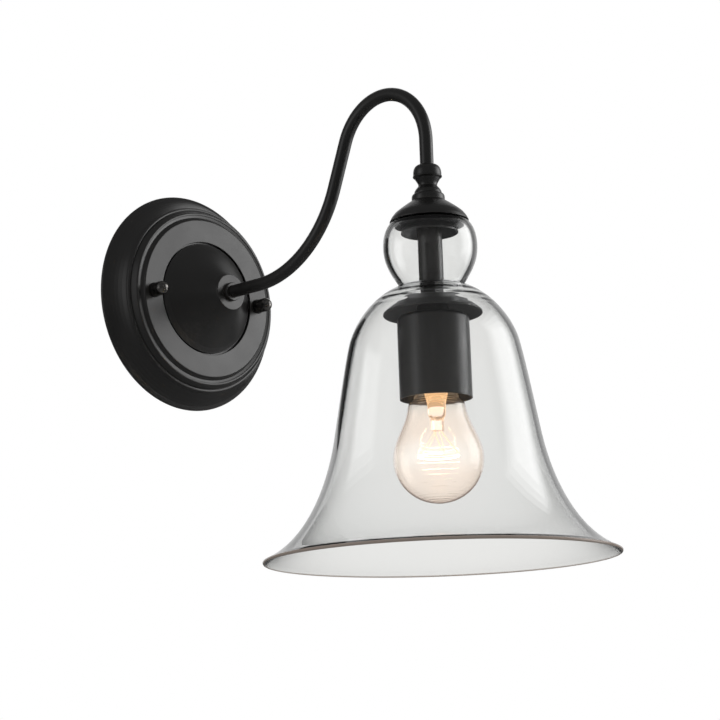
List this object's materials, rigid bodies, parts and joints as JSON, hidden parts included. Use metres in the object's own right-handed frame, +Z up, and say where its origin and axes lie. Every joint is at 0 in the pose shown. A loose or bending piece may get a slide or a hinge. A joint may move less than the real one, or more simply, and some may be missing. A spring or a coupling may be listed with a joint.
{
  "type": "wall sconce",
  "caption": "Wall light with a stepped round plate, a gooseneck arm and a clear glass bell shade over a screw-in bulb.",
  "frame": {"origin": "middle of the wall bracket's back face, in the plane of the wall", "axes": "+Y points into the wall, the lamp stands out towards -Y, +Z is up"},
  "size_m": [0.22, 0.3473, 0.3067],
  "materials": {
    "satin_black": "satin near-black powder coat",
    "gloss_black": "glossy black",
    "black_nylon": "matte black",
    "zinc_steel": "zinc plated",
    "brass": "plain brass",
    "white_nylon": "white",
    "brown_jacket": "brown wire jacket",
    "blue_jacket": "blue wire jacket",
    "green_yellow_jacket": "green and yellow wire jacket",
    "black_rubber": "soft black",
    "clear_glass": "clear, slightly cool",
    "ceramic": "white glaze",
    "nickel": "bright",
    "black_glass": "black glass",
    "bulb_clear": "clear, lit warm",
    "glowing_wire": "glowing"
  },
  "bodies": {
    "lamp": {"canopy": "satin_black", "arm_cone": "satin_black", "arm_collar": "satin_black", "arm_tube": "satin_black", "coupling_bead": "satin_black", "coupling_bell": "satin_black", "shade_cap": "satin_black", "clamp_cone": "satin_black", "stem_sleeve": "satin_black", "sleeve_nut": "satin_black", "shade_dish": "satin_black", "socket_cup": "satin_black", "wall_bracket": "zinc_steel", "stud_screws": "zinc_steel", "stud_lock_nuts": "zinc_steel", "arm_lock_nut": "zinc_steel", "earth_tag": "zinc_steel", "stem_pipe": "zinc_steel", "dish_nut": "zinc_steel", "holder_bridge": "zinc_steel", "holder_screws": "zinc_steel", "terminal_screws": "zinc_steel", "block_wire_screws": "zinc_steel", "block_fixing_screw": "zinc_steel", "earth_screw": "brass", "earth_eyelet": "brass", "screw_shell": "brass", "centre_spring": "brass", "shell_terminal": "brass", "terminal_block": "white_nylon", "tail_bush": "white_nylon", "live_wire": "brown_jacket", "neutral_wire": "blue_jacket", "earth_wire": "green_yellow_jacket", "upper_gasket": "black_rubber", "lower_gasket": "black_rubber", "glass_shade": "clear_glass", "lampholder_body": "ceramic"},
    "bulb_rise": {"bulb_contact": "zinc_steel"},
    "bulb": {"bulb_insulator": "black_glass", "bulb_screw_cap": "nickel", "bulb_glass": "bulb_clear", "bulb_stem": "bulb_clear", "bulb_leads": "zinc_steel", "bulb_supports": "zinc_steel", "bulb_filament": "glowing_wire"},
    "left_washer": {"cap_washer_left": "black_nylon"},
    "left_nut": {"cap_nut_left": "gloss_black"},
    "right_washer": {"cap_washer_right": "black_nylon"},
    "right_nut": {"cap_nut_right": "gloss_black"}
  },
  "joints": [
    {"name": "bulb_lift", "type": "slide", "parent": "lamp", "child": "bulb_rise", "axis": [0, 0, -1], "range_m": [0, 0.02178]},
    {"name": "bulb_turn", "type": "hinge", "parent": "bulb_rise", "child": "bulb", "pos_m": [0, -0.23728, -0.09], "axis": [0, 0, -1], "range_deg": [0, 2160]},
    {"name": "left_nut_lift", "type": "slide", "parent": "lamp", "child": "left_washer", "axis": [0, -1, 0], "range_m": [0, 0.00701]},
    {"name": "left_nut_turn", "type": "hinge", "parent": "left_washer", "child": "left_nut", "pos_m": [-0.0465, -0.03, 0], "axis": [0, -1, 0], "range_deg": [0, 3600]},
    {"name": "right_nut_lift", "type": "slide", "parent": "lamp", "child": "right_washer", "axis": [0, -1, 0], "range_m": [0, 0.00701]},
    {"name": "right_nut_turn", "type": "hinge", "parent": "right_washer", "child": "right_nut", "pos_m": [0.0465, -0.03, 0], "axis": [0, -1, 0], "range_deg": [0, 3600]}
  ],
  "couplings": [
    {"joint": "bulb_lift", "follows": "bulb_turn", "m_per_rad": 0.00057757},
    {"joint": "left_nut_lift", "follows": "left_nut_turn", "m_per_rad": 0.00011141},
    {"joint": "right_nut_lift", "follows": "right_nut_turn", "m_per_rad": 0.00011141}
  ]
}
